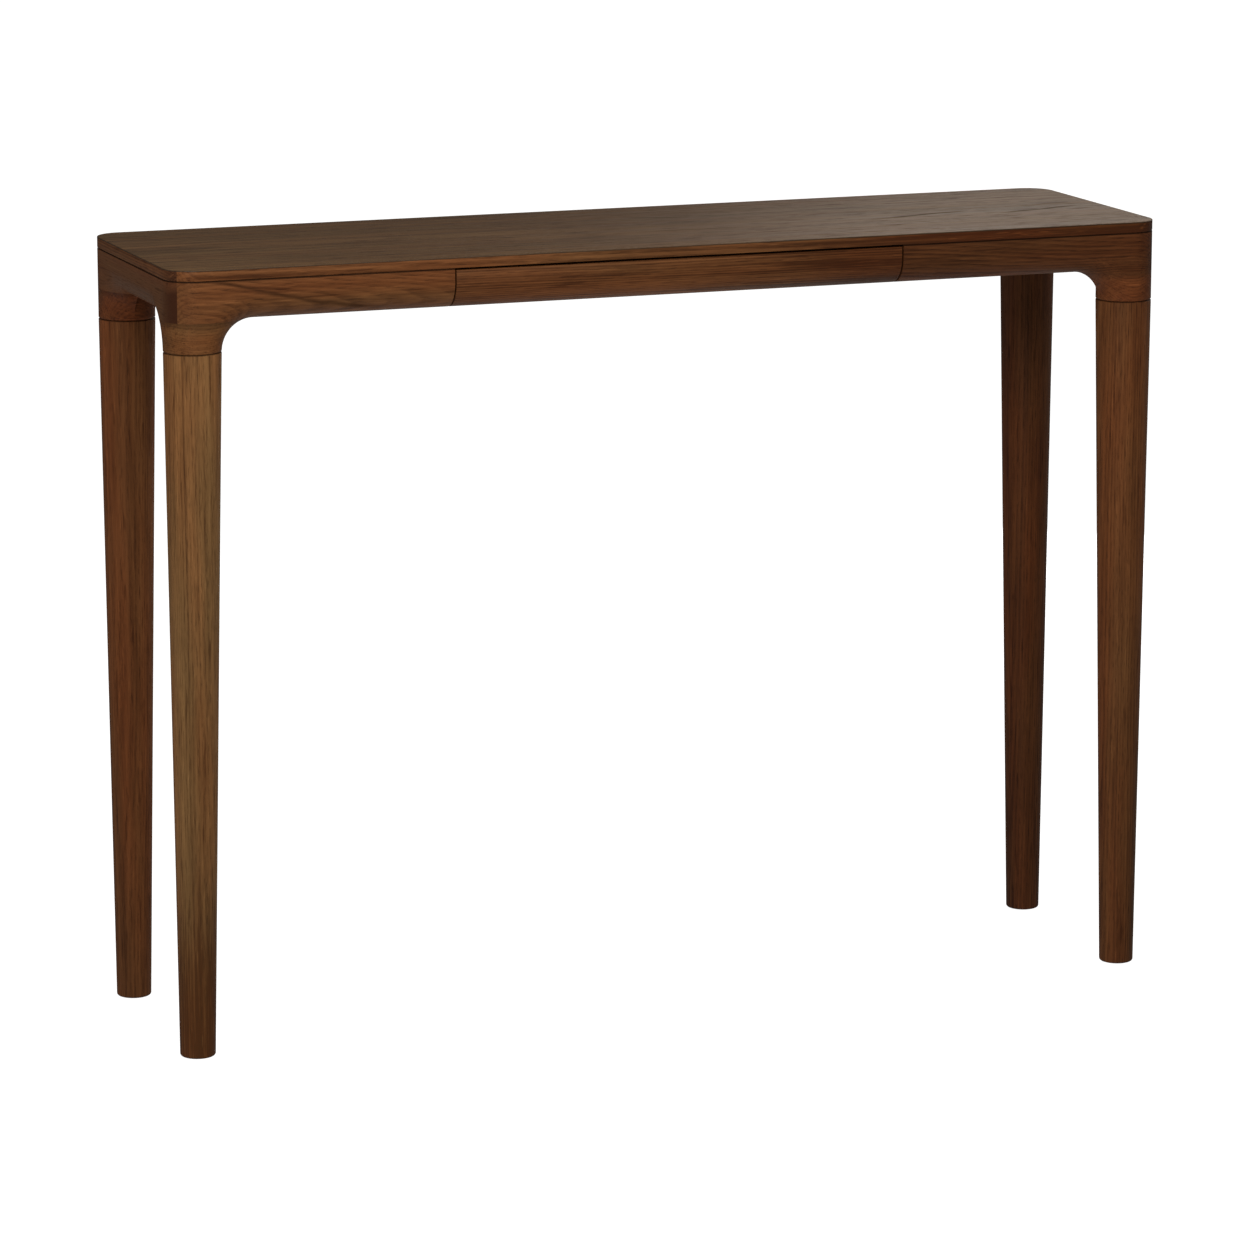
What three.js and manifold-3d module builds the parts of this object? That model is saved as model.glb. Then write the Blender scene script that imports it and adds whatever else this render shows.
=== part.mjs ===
// Slim console table: one flush drawer under a thin top, on four turned, tapered legs.
// Millimetres, +Z up. The origin is on the floor under the middle of the table, X runs
// along its length, and the drawer opens towards -Y.
import * as THREE from 'three';
import { mergeVertices } from 'three/addons/utils/BufferGeometryUtils.js';
import Module from 'manifold-3d';

const wasm = await Module();
wasm.setup();

// Overall size
const LENGTH = 1200;
const DEPTH = 334;
const HEIGHT = 900;
const FIT_GAP = 0.3; // between faces that meet

// Top: a core board with solid edge lippings, under one sheet of thick veneer
const TOP_THICKNESS = 12;
const VENEER_THICKNESS = 0.9;
const LIPPING_WIDTH = 20; // front and back
const END_LIPPING_WIDTH = 9.5;

// Rails: a quarter-round lower edge, and a shadow groove under the top
const RAIL_HEIGHT = 47;
const RAIL_THICKNESS = 32;
const RAIL_ROUND = 31;
const GROOVE_DEPTH = 1.5;
const GROOVE_HEIGHT = 1.7;

// Leg heads: the arch that runs from the underside of a rail into a leg
const ARCH_RADIUS = 35;
const HEAD_HEIGHT = 35;
const HEAD_CHAMFER = 1;

// Legs: turned, tapered, and leaning outwards along the length
const LEG_TOP_RADIUS = 32.5;
const LEG_FOOT_RADIUS = 20.2;
const LEG_LEAN = 7;
const FOOT_ROUND = 3;
const GLIDE_RADIUS = 13;
const GLIDE_THICKNESS = 2.9;
const GLIDE_STANDS_OUT = 0.8;

// Leg fixings: a hanger bolt in the leg and a threaded insert in the head
const BOLT_RADIUS = 4;
const BOLT_IN_LEG = 38;
const BOLT_IN_HEAD = 21;
const INSERT_RADIUS = 6.5;
const INSERT_LENGTH = 22;

// Drawer and the two bearers that carry it
const DRAWER_WIDTH = 540;
const DRAWER_END_GAP = 2;
const DRAWER_TOP_GAP = 2.7;
const BOX_LENGTH = 247;
const BOX_WALL = 12;
const BOX_LOW = 847.5;
const BOX_HIGH = 880;
const PANEL_LOW = 853.3;
const PANEL_THICKNESS = 4;
const PANEL_GROOVE = 5;
const BEARER_THICKNESS = 18;
const BEARER_LOW = 845;

// Ball slides
const SLIDE_LENGTH = 246;
const SLIDE_HEIGHT = 27;
const SLIDE_WIDTH = 10.5;
const SHEET = 1.2;
const CAGE_LENGTH = 64;
const CAGE_START = -41;
const BALL_RADIUS = 1.5;
const BALLS_IN_ROW = 4;

// Screws that hold the top to the bearers
const SCREW_RADIUS = 2.2;
const SCREW_HEAD_RADIUS = 4.5;
const SCREW_HEAD_LOW = 866;
const SCREW_TIP = 896;
const SCREW_Y = [-90, 90];

// Derived places
const AXIS_X = LENGTH / 2 - LEG_TOP_RADIUS;
const AXIS_Y = DEPTH / 2 - LEG_TOP_RADIUS;
const TOP_LOW = HEIGHT - TOP_THICKNESS;
const RAIL_LOW = TOP_LOW - RAIL_HEIGHT;
const RAIL_HIGH = TOP_LOW - FIT_GAP;
const GROOVE_LOW = TOP_LOW - GROOVE_HEIGHT;
const HEAD_LOW = RAIL_LOW - HEAD_HEIGHT;
const ARCH_CENTRE = { along: LEG_TOP_RADIUS + ARCH_RADIUS, up: RAIL_LOW - ARCH_RADIUS };
const INNER_FACE_Y = DEPTH / 2 - RAIL_THICKNESS;
const BEARER_X = DRAWER_WIDTH / 2 + DRAWER_END_GAP;
const BOX_X = BEARER_X - SLIDE_WIDTH;
const BOX_FRONT = -INNER_FACE_Y + FIT_GAP;
const BOX_BACK = BOX_FRONT + BOX_LENGTH;
const SLIDE_MIDDLE = (BOX_LOW + BOX_HIGH) / 2 + 0.5;
const SLIDE_FRONT = BOX_FRONT + 2.5;

const SIDES = [['left', -1], ['right', 1]];
const CORNERS = [
  ['front_left', -1, -1],
  ['front_right', 1, -1],
  ['back_left', -1, 1],
  ['back_right', 1, 1],
];

function finish(color, roughness, metalness = 0) {
  return new THREE.MeshStandardMaterial({ color, roughness, metalness });
}

const MATERIALS = {
  topOak: finish(0x5f4b3a, 0.55),
  railOak: finish(0x573522, 0.5),
  endOak: finish(0x462c1e, 0.5),
  legOak: finish(0x6a4a2d, 0.5),
  innerOak: finish(0xa98a63, 0.6),
  core: finish(0x9a7b55, 0.8),
  steel: finish(0xb4b6b8, 0.35, 0.9),
  nylon: finish(0x2b2724, 0.6),
};

const table = new THREE.Group();

// ---------------------------------------------------------------- solid helpers

function signedVolume(position, index) {
  const [a, b, c] = [new THREE.Vector3(), new THREE.Vector3(), new THREE.Vector3()];
  let total = 0;
  for (let i = 0; i < index.length; i += 3) {
    a.fromBufferAttribute(position, index[i]);
    b.fromBufferAttribute(position, index[i + 1]);
    c.fromBufferAttribute(position, index[i + 2]);
    total += a.dot(b.cross(c)) / 6;
  }
  return total;
}

// One closed body: shared corners, no collapsed triangles, every face outwards.
function closed(geometry) {
  const bare = geometry.clone();
  bare.deleteAttribute('normal');
  bare.deleteAttribute('uv');
  const merged = mergeVertices(bare, 1e-4);
  const index = [];
  const all = merged.index.array;
  for (let i = 0; i < all.length; i += 3) {
    const [a, b, c] = [all[i], all[i + 1], all[i + 2]];
    if (a !== b && b !== c && c !== a) index.push(a, b, c);
  }
  if (signedVolume(merged.attributes.position, index) < 0) index.reverse();
  merged.setIndex(index);
  return merged;
}

function toManifold(geometry) {
  const body = closed(geometry);
  return new wasm.Manifold(new wasm.Mesh({
    numProp: 3,
    vertProperties: Float32Array.from(body.attributes.position.array),
    triVerts: Uint32Array.from(body.index.array),
  }));
}

function fromManifold(body) {
  const mesh = body.getMesh();
  const geometry = new THREE.BufferGeometry();
  geometry.setAttribute('position', new THREE.Float32BufferAttribute(mesh.vertProperties, 3));
  geometry.setIndex(Array.from(mesh.triVerts));
  return geometry;
}

function cut(geometry, tools) {
  return fromManifold(tools.reduce((body, tool) => body.subtract(toManifold(tool)), toManifold(geometry)));
}

function joined(geometries) {
  return fromManifold(geometries.map(toManifold).reduce((body, next) => body.add(next)));
}

function shared(geometry, other) {
  return fromManifold(toManifold(geometry).intersect(toManifold(other)));
}

function add(name, geometry, material) {
  const body = closed(geometry);
  body.computeVertexNormals();
  const mesh = new THREE.Mesh(body, material);
  mesh.name = name;
  table.add(mesh);
}

function board(x0, x1, y0, y1, z0, z1) {
  const box = new THREE.BoxGeometry(Math.abs(x1 - x0), Math.abs(y1 - y0), z1 - z0);
  return box.translate((x0 + x1) / 2, (y0 + y1) / 2, (z0 + z1) / 2);
}

function shapeOf(points) {
  return new THREE.Shape(points.map(([x, y]) => new THREE.Vector2(x, y)));
}

// A plan outline raised from z0 to z1.
function prism(points, z0, z1) {
  const geometry = new THREE.ExtrudeGeometry(shapeOf(points), { depth: z1 - z0, bevelEnabled: false });
  return geometry.translate(0, 0, z0);
}

// A section of (depth, height) points, drawn along X from x0 to x1.
function moulding(section, x0, x1) {
  const geometry = new THREE.ExtrudeGeometry(shapeOf(section), { depth: x1 - x0, bevelEnabled: false });
  const placed = new THREE.Matrix4().makeBasis(
    new THREE.Vector3(0, 1, 0), new THREE.Vector3(0, 0, 1), new THREE.Vector3(1, 0, 0));
  return geometry.applyMatrix4(placed).translate(x0, 0, 0);
}

// A section of (x, z) points, drawn along Y from y0 to y1.
function runner(section, y0, y1) {
  const geometry = new THREE.ExtrudeGeometry(shapeOf(section), { depth: y1 - y0, bevelEnabled: false });
  const placed = new THREE.Matrix4().makeBasis(
    new THREE.Vector3(1, 0, 0), new THREE.Vector3(0, 0, 1), new THREE.Vector3(0, -1, 0));
  return geometry.applyMatrix4(placed).translate(0, y1, 0);
}

// A turned piece: (radius, height) points spun about the vertical axis at (x, y).
function turned(profile, segments, x = 0, y = 0) {
  const points = profile.map(([r, z]) => new THREE.Vector2(r, z));
  return new THREE.LatheGeometry(points, segments).rotateX(Math.PI / 2).translate(x, y, 0);
}

function drill(radius, x, y, z0, z1) {
  return turned([[0, z0], [radius, z0], [radius, z1], [0, z1]], 12, x, y);
}

// A body through rings of points. flats are the first and last ring, drawn flat, for the end faces.
function loft(rings, flats) {
  const count = rings[0].length;
  const index = [];
  for (let r = 0; r + 1 < rings.length; r++) {
    for (let i = 0; i < count; i++) {
      const j = (i + 1) % count;
      const [near, far] = [r * count, (r + 1) * count];
      index.push(near + i, near + j, far + j, near + i, far + j, far + i);
    }
  }
  flats.forEach((flat, end) => {
    const contour = flat.map(([u, v]) => new THREE.Vector2(u, v));
    const turn = Math.sign(THREE.ShapeUtils.area(contour)) * (end === 0 ? -1 : 1);
    const base = end === 0 ? 0 : (rings.length - 1) * count;
    for (const corners of THREE.ShapeUtils.triangulateShape(contour, [])) {
      const face = Math.sign(THREE.ShapeUtils.area(corners.map((k) => contour[k])));
      const ordered = face === turn ? corners : [...corners].reverse();
      index.push(...ordered.map((k) => base + k));
    }
  });
  const geometry = new THREE.BufferGeometry();
  geometry.setAttribute('position', new THREE.Float32BufferAttribute(rings.flat(2), 3));
  geometry.setIndex(index);
  return geometry;
}

function range(count) {
  return [...Array(count).keys()];
}

// ---------------------------------------------------------------- top

// Plan of a rectangle with all four corners rounded.
function roundedPlan(halfX, halfY, radius, steps) {
  const quarter = [[1, 1, 0], [-1, 1, 90], [-1, -1, 180], [1, -1, 270]];
  return quarter.flatMap(([sx, sy, start]) => range(steps + 1).map((k) => {
    const angle = THREE.MathUtils.degToRad(start + 90 * k / steps);
    const [cx, cy] = [sx * (halfX - radius), sy * (halfY - radius)];
    return [cx + radius * Math.cos(angle), cy + radius * Math.sin(angle)];
  }));
}

function addTop() {
  const coreX = LENGTH / 2 - END_LIPPING_WIDTH - FIT_GAP;
  const coreY = DEPTH / 2 - LIPPING_WIDTH - FIT_GAP;
  const boardHigh = HEIGHT - VENEER_THICKNESS - FIT_GAP;
  const plan = roundedPlan(LENGTH / 2, DEPTH / 2, LEG_TOP_RADIUS, 8);
  add('top_veneer', prism(plan, HEIGHT - VENEER_THICKNESS, HEIGHT), MATERIALS.topOak);

  const screwX = BEARER_X + BEARER_THICKNESS / 2;
  const pilots = SIDES.flatMap(([, sx]) => SCREW_Y.map((y) =>
    drill(SCREW_RADIUS + FIT_GAP, sx * screwX, y, TOP_LOW - 1, SCREW_TIP + FIT_GAP)));
  add('top_core', cut(board(-coreX, coreX, -coreY, coreY, TOP_LOW, boardHigh), pilots), MATERIALS.core);

  // the end lippings run the full depth, and their end grain shows on half of each rounded corner
  const outline = prism(plan, TOP_LOW, boardHigh);
  for (const [side, sx] of SIDES) {
    const strip = board(sx * (LENGTH / 2 - END_LIPPING_WIDTH), sx * LENGTH, -DEPTH, DEPTH, 0, HEIGHT);
    add(`lipping_${side}`, shared(outline, strip), MATERIALS.railOak);
  }
  for (const [side, sy] of [['front', -1], ['back', 1]]) {
    const strip = board(-coreX, coreX, sy * (DEPTH / 2 - LIPPING_WIDTH), sy * DEPTH, 0, HEIGHT);
    add(`lipping_${side}`, shared(outline, strip), MATERIALS.railOak);
  }
}

// ---------------------------------------------------------------- rails

// How far a point on a rail's face stands above the line of the arch beside a leg.
// along is its distance from the leg's axis, up its height.
function aboveArch(along, up) {
  if (along >= ARCH_CENTRE.along) return up - RAIL_LOW;
  return Math.hypot(ARCH_CENTRE.along - along, up - ARCH_CENTRE.up) - ARCH_RADIUS;
}

// Depth of the rounded edge at that distance from the arch line.
function roundDepth(distance, radius) {
  if (distance >= radius) return 0;
  return radius - Math.sqrt(radius ** 2 - (radius - distance) ** 2);
}

// Heights at which the rounded edge turns by equal angles, from its top down to the rail's underside.
const ROUND_STEPS = 5;
const ROUND_HEIGHTS = range(ROUND_STEPS + 1).map((k) =>
  RAIL_LOW + RAIL_ROUND * (1 - Math.sin((Math.PI / 2) * (k / ROUND_STEPS))));

function railSection(along) {
  return [
    [RAIL_THICKNESS, RAIL_HIGH],
    [GROOVE_DEPTH, RAIL_HIGH],
    [GROOVE_DEPTH, GROOVE_LOW],
    [0, GROOVE_LOW],
    ...ROUND_HEIGHTS.map((up) => [roundDepth(aboveArch(along, up), RAIL_ROUND), up]),
    [RAIL_THICKNESS, RAIL_LOW],
  ];
}

// Stations of a rail from its mitre at a corner, round the corner and past the arch.
// The rail runs along X or along Y; each station has a point on the face and a direction inwards.
function cornerStations(sx, sy, runsAlongX) {
  const arc = [45, 33, 22, 11].map((degrees) => {
    const angle = THREE.MathUtils.degToRad(degrees);
    const [main, cross] = [Math.cos(angle), Math.sin(angle)];
    const out = runsAlongX ? [sx * cross, sy * main] : [sx * main, sy * cross];
    const face = [sx * AXIS_X + out[0] * LEG_TOP_RADIUS, sy * AXIS_Y + out[1] * LEG_TOP_RADIUS];
    return { face, inward: [-out[0], -out[1]], along: 0 };
  });
  // the mitre face stands back from the mitre plane by half the gap
  const back = FIT_GAP / 2 / Math.SQRT2;
  const away = runsAlongX ? [-sx * back, sy * back] : [sx * back, -sy * back];
  arc[0].face = [arc[0].face[0] + away[0], arc[0].face[1] + away[1]];

  const straight = [0, 12, 22, 32, 42, 54, ARCH_CENTRE.along].map((along) => (runsAlongX
    ? { face: [sx * (AXIS_X - along), sy * DEPTH / 2], inward: [0, -sy], along }
    : { face: [sx * LENGTH / 2, sy * (AXIS_Y - along)], inward: [-sx, 0], along }));
  return [...arc, ...straight];
}

function rail(stations) {
  const rings = stations.map(({ face, inward, along }) => railSection(along).map(([depth, up]) =>
    [face[0] + inward[0] * depth, face[1] + inward[1] * depth, up]));
  return loft(rings, [railSection(stations[0].along), railSection(stations.at(-1).along)]);
}

function addRails() {
  for (const [side, sx] of SIDES) {
    const stub = cornerStations(sx, -1, true);
    const drawerEnd = { face: [sx * BEARER_X, -DEPTH / 2], inward: [0, 1], along: ARCH_CENTRE.along };
    add(`front_rail_${side}`, rail([...stub, drawerEnd]), MATERIALS.railOak);
    const [front, back] = [cornerStations(sx, -1, false), cornerStations(sx, 1, false)];
    add(`end_rail_${side}`, rail([...front, ...back.reverse()]), MATERIALS.endOak);
  }
  const [left, right] = [cornerStations(-1, 1, true), cornerStations(1, 1, true)];
  add('back_rail', rail([...left, ...right.reverse()]), MATERIALS.railOak);
}

// ---------------------------------------------------------------- leg heads

// Plan of a leg head at one height, about the leg's axis: (a, b) point to the middle of the
// table. It is round at the leg and grows a wing under each rail as the arch opens.
const WING_STEPS = 5;
const QUARTER_STEPS = 5;

function headPlan(up, inset) {
  const sink = (RAIL_LOW - up) / HEAD_HEIGHT;
  const edge = RAIL_ROUND + (LEG_TOP_RADIUS - 0.1 - RAIL_ROUND) * sink;
  const wing = range(WING_STEPS + 1).map((k) => {
    const angle = (Math.PI / 2) * (k / WING_STEPS);
    const reach = ARCH_RADIUS + edge * (1 - Math.cos(angle));
    const along = ARCH_CENTRE.along - Math.sqrt(reach ** 2 - (up - ARCH_CENTRE.up) ** 2);
    return [along, -LEG_TOP_RADIUS + edge * (1 - Math.sin(angle))];
  });
  const outer = range(QUARTER_STEPS + 1).map((k) => {
    const angle = -Math.PI / 2 - (Math.PI / 2) * (k / QUARTER_STEPS);
    return [LEG_TOP_RADIUS * Math.cos(angle), LEG_TOP_RADIUS * Math.sin(angle)];
  });
  const inner = range(QUARTER_STEPS + 1).map((k) => {
    const angle = Math.PI / 2 - (Math.PI / 2) * (k / QUARTER_STEPS);
    return [LEG_TOP_RADIUS * Math.cos(angle), LEG_TOP_RADIUS * Math.sin(angle)];
  });
  const endWing = wing.map(([along, across]) => [across, along]).reverse();
  const plan = [...wing, ...outer, ...endWing, [0, wing[0][0]], ...inner, [wing[0][0], 0]];
  const shrink = 1 - inset / LEG_TOP_RADIUS;
  return plan.map(([a, b]) => [a * shrink, b * shrink]);
}

function legHead(sx, sy) {
  const high = RAIL_LOW - FIT_GAP;
  const low = HEAD_LOW + FIT_GAP;
  const heights = [low + HEAD_CHAMFER, ...range(5).map((k) => HEAD_LOW + 8 + k * 6), high];
  const levels = [[low, HEAD_CHAMFER], ...heights.map((up) => [up, 0])];
  const plans = levels.map(([up, inset]) => headPlan(up, inset));
  const rings = plans.map((plan, k) =>
    plan.map(([a, b]) => [sx * (AXIS_X - a), sy * (AXIS_Y - b), levels[k][0]]));
  const boreTop = HEAD_LOW + INSERT_LENGTH + 2;
  const bore = drill(INSERT_RADIUS + FIT_GAP, sx * AXIS_X, sy * AXIS_Y, HEAD_LOW - 1, boreTop);
  return cut(loft(rings, [plans[0], plans.at(-1)]), [bore]);
}

// Quarter-round block glued into the mitre, behind both rails and over the head.
function cornerBlock(sx, sy) {
  const near = LEG_TOP_RADIUS - RAIL_THICKNESS - FIT_GAP;
  const arc = range(QUARTER_STEPS + 1).map((k) => {
    const angle = (Math.PI / 2) * (k / QUARTER_STEPS);
    return [(RAIL_THICKNESS - near) * Math.cos(angle), (RAIL_THICKNESS - near) * Math.sin(angle)];
  });
  const plan = [[-near, -near], ...arc.map(([a, b]) => [a - near, b - near])];
  return prism(plan.map(([a, b]) => [sx * (AXIS_X - a), sy * (AXIS_Y - b)]), RAIL_LOW, RAIL_HIGH);
}

// ---------------------------------------------------------------- legs and their fixings

const LEG_LOW = GLIDE_STANDS_OUT;
const LEG_HIGH = HEAD_LOW;
const LEG_SEGMENTS = 24;

function legRadius(up) {
  return LEG_FOOT_RADIUS + (LEG_TOP_RADIUS - LEG_FOOT_RADIUS) * (up - LEG_LOW) / (LEG_HIGH - LEG_LOW);
}

function legLean(sx, up) {
  return sx * LEG_LEAN * (LEG_HIGH - up) / (LEG_HIGH - LEG_LOW);
}

function leg(sx, sy) {
  const recess = GLIDE_THICKNESS + FIT_GAP;
  const foot = range(3).map((k) => {
    const angle = (Math.PI / 2) * (k / 2);
    const drop = FOOT_ROUND * (1 - Math.sin(angle));
    return [legRadius(LEG_LOW + FOOT_ROUND) - drop, LEG_LOW + FOOT_ROUND * (1 - Math.cos(angle))];
  });
  const profile = [
    [0, recess],
    [GLIDE_RADIUS + FIT_GAP, recess],
    [GLIDE_RADIUS + FIT_GAP, LEG_LOW],
    ...foot,
    [legRadius(LEG_HIGH - HEAD_CHAMFER), LEG_HIGH - HEAD_CHAMFER],
    [LEG_TOP_RADIUS - HEAD_CHAMFER, LEG_HIGH],
    [BOLT_RADIUS + 2 * FIT_GAP, LEG_HIGH],
    [BOLT_RADIUS + 2 * FIT_GAP, LEG_HIGH - BOLT_IN_LEG - 2],
    [0, LEG_HIGH - BOLT_IN_LEG - 2],
  ];
  const geometry = turned(profile, LEG_SEGMENTS);
  const slope = legLean(sx, 0) - legLean(sx, 1);
  const lean = new THREE.Matrix4().set(1, 0, -slope, slope * LEG_HIGH, 0, 1, 0, 0, 0, 0, 1, 0, 0, 0, 0, 1);
  return geometry.applyMatrix4(lean).translate(sx * AXIS_X, sy * AXIS_Y, 0);
}

function glide(sx, sy) {
  const profile = [
    [0, 0],
    [GLIDE_RADIUS - 0.5, 0],
    [GLIDE_RADIUS, 0.4],
    [GLIDE_RADIUS, GLIDE_THICKNESS],
    [0, GLIDE_THICKNESS],
  ];
  return turned(profile, 16, sx * AXIS_X + legLean(sx, LEG_LOW), sy * AXIS_Y);
}

function hangerBolt(sx, sy) {
  const profile = [
    [0, LEG_HIGH - BOLT_IN_LEG],
    [BOLT_RADIUS - 1, LEG_HIGH - BOLT_IN_LEG + 6],
    [BOLT_RADIUS - 0.6, LEG_HIGH - 5],
    [BOLT_RADIUS, LEG_HIGH - 4],
    [BOLT_RADIUS, LEG_HIGH + BOLT_IN_HEAD - 1],
    [BOLT_RADIUS - 1, LEG_HIGH + BOLT_IN_HEAD],
    [0, LEG_HIGH + BOLT_IN_HEAD],
  ];
  return turned(profile, 12, sx * AXIS_X, sy * AXIS_Y);
}

function threadedInsert(sx, sy) {
  const [low, high] = [HEAD_LOW + 2 * FIT_GAP, HEAD_LOW + INSERT_LENGTH];
  const bore = BOLT_RADIUS + FIT_GAP;
  const profile = [
    [bore, low],
    [INSERT_RADIUS, low],
    [INSERT_RADIUS - 0.4, high],
    [bore, high],
    [bore, low],
  ];
  return turned(profile, 12, sx * AXIS_X, sy * AXIS_Y);
}

function addLegs() {
  for (const [corner, sx, sy] of CORNERS) {
    add(`leg_head_${corner}`, legHead(sx, sy), MATERIALS.railOak);
    add(`corner_block_${corner}`, cornerBlock(sx, sy), MATERIALS.innerOak);
    add(`leg_${corner}`, leg(sx, sy), MATERIALS.legOak);
    add(`glide_${corner}`, glide(sx, sy), MATERIALS.nylon);
    add(`leg_bolt_${corner}`, hangerBolt(sx, sy), MATERIALS.steel);
    add(`leg_insert_${corner}`, threadedInsert(sx, sy), MATERIALS.steel);
  }
}

// ---------------------------------------------------------------- drawer

function addDrawerFront() {
  const outer = ROUND_HEIGHTS.map((up) => [
    -DEPTH / 2 + roundDepth(up - RAIL_LOW, RAIL_ROUND), up]);
  const groove = [
    [-INNER_FACE_Y, PANEL_LOW - FIT_GAP],
    [-INNER_FACE_Y - PANEL_GROOVE, PANEL_LOW - FIT_GAP],
    [-INNER_FACE_Y - PANEL_GROOVE, PANEL_LOW + PANEL_THICKNESS + FIT_GAP],
    [-INNER_FACE_Y, PANEL_LOW + PANEL_THICKNESS + FIT_GAP],
  ];
  const high = TOP_LOW - DRAWER_TOP_GAP;
  const section = [
    [-INNER_FACE_Y, high],
    [-DEPTH / 2, high],
    ...outer,
    [-INNER_FACE_Y, RAIL_LOW],
    ...groove,
  ];
  add('drawer_front', moulding(section, -DRAWER_WIDTH / 2, DRAWER_WIDTH / 2), MATERIALS.railOak);
}

function addDrawerBox() {
  const grooveLow = PANEL_LOW - FIT_GAP;
  const grooveHigh = PANEL_LOW + PANEL_THICKNESS + FIT_GAP;
  const inner = BOX_X - BOX_WALL;
  for (const [side, sx] of SIDES) {
    const section = [
      [BOX_X, BOX_LOW], [BOX_X, BOX_HIGH], [inner, BOX_HIGH], [inner, grooveHigh],
      [inner + PANEL_GROOVE, grooveHigh], [inner + PANEL_GROOVE, grooveLow],
      [inner, grooveLow], [inner, BOX_LOW],
    ].map(([x, z]) => [sx * x, z]);
    add(`drawer_side_${side}`, runner(section, BOX_FRONT, BOX_BACK), MATERIALS.innerOak);
  }
  const backX = inner - FIT_GAP;
  const back = board(-backX, backX, BOX_BACK - BOX_WALL, BOX_BACK, grooveHigh, BOX_HIGH);
  add('drawer_back', back, MATERIALS.innerOak);
  const panelX = inner + PANEL_GROOVE - FIT_GAP;
  const panelFront = -INNER_FACE_Y - PANEL_GROOVE + FIT_GAP;
  const panel = board(-panelX, panelX, panelFront, BOX_BACK, PANEL_LOW, PANEL_LOW + PANEL_THICKNESS);
  add('drawer_bottom', panel, MATERIALS.innerOak);
}

// A channel section, open towards the drawer when from < to and towards the bearer otherwise.
// from and to are distances from the bearer's face, half is half its height.
function channel(sx, from, to, half) {
  const step = from < to ? SHEET : -SHEET;
  const section = [
    [from, -half], [to, -half], [to, -half + SHEET], [from + step, -half + SHEET],
    [from + step, half - SHEET], [to, half - SHEET], [to, half], [from, half],
  ];
  return section.map(([away, up]) => [sx * (BEARER_X - away), SLIDE_MIDDLE + up]);
}

function ballCage(sx) {
  const ballUp = SLIDE_HEIGHT / 2 - SHEET - BALL_RADIUS - 0.3;
  const [webNear, webFar, lip] = [2.1, 2.7, 7.8];
  const half = ballUp + 0.35;
  const section = [
    [webNear, -half], [lip, -half], [lip, -half + 0.7], [webFar, -half + 0.7],
    [webFar, half - 0.7], [lip, half - 0.7], [lip, half], [webNear, half],
  ].map(([away, up]) => [sx * (BEARER_X - away), SLIDE_MIDDLE + up]);
  const strip = runner(section, CAGE_START, CAGE_START + CAGE_LENGTH);
  const pitch = CAGE_LENGTH / BALLS_IN_ROW;
  const balls = [-1, 1].flatMap((row) => range(BALLS_IN_ROW).map((k) =>
    new THREE.SphereGeometry(BALL_RADIUS, 6, 4).translate(
      sx * (BEARER_X - 5.6), CAGE_START + (k + 0.5) * pitch, SLIDE_MIDDLE + row * ballUp)));
  return joined([strip, ...balls]);
}

function addSlides() {
  const innerHalf = SLIDE_HEIGHT / 2 - SHEET - 2 * BALL_RADIUS - 0.6;
  for (const [side, sx] of SIDES) {
    const fixed = channel(sx, FIT_GAP, SLIDE_WIDTH - 2, SLIDE_HEIGHT / 2);
    add(`slide_rail_${side}`, runner(fixed, SLIDE_FRONT, SLIDE_FRONT + SLIDE_LENGTH), MATERIALS.steel);
    const moving = channel(sx, SLIDE_WIDTH - FIT_GAP, 3.4, innerHalf);
    add(`slide_runner_${side}`, runner(moving, SLIDE_FRONT, BOX_BACK), MATERIALS.steel);
    add(`slide_ball_cage_${side}`, ballCage(sx), MATERIALS.steel);
  }
}

// ---------------------------------------------------------------- bearers and top screws

function addBearers() {
  for (const [side, sx] of SIDES) {
    const [x0, x1] = [sx * BEARER_X, sx * (BEARER_X + BEARER_THICKNESS)];
    const reach = INNER_FACE_Y - FIT_GAP;
    const middle = (x0 + x1) / 2;
    const holes = SCREW_Y.flatMap((y) => [
      drill(SCREW_HEAD_RADIUS + 2 * FIT_GAP, middle, y, BEARER_LOW - 1, SCREW_HEAD_LOW + 3),
      drill(SCREW_RADIUS + FIT_GAP, middle, y, BEARER_LOW, RAIL_HIGH + 1),
    ]);
    const solid = board(Math.min(x0, x1), Math.max(x0, x1), -reach, reach, BEARER_LOW, RAIL_HIGH);
    add(`drawer_bearer_${side}`, cut(solid, holes), MATERIALS.innerOak);
    SCREW_Y.forEach((y, k) => {
      const profile = [
        [0, SCREW_HEAD_LOW],
        [SCREW_HEAD_RADIUS, SCREW_HEAD_LOW + 0.4],
        [SCREW_HEAD_RADIUS, SCREW_HEAD_LOW + 3 - FIT_GAP],
        [SCREW_RADIUS, SCREW_HEAD_LOW + 3 - FIT_GAP],
        [SCREW_RADIUS, SCREW_TIP - 4],
        [0, SCREW_TIP],
      ];
      add(`top_screw_${side}_${k + 1}`, turned(profile, 12, middle, y), MATERIALS.steel);
    });
  }
}

addTop();
addRails();
addLegs();
addDrawerFront();
addDrawerBox();
addSlides();
addBearers();

export default table;
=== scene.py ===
"""Slim oak console table with one flush drawer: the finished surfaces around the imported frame."""
import math

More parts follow.
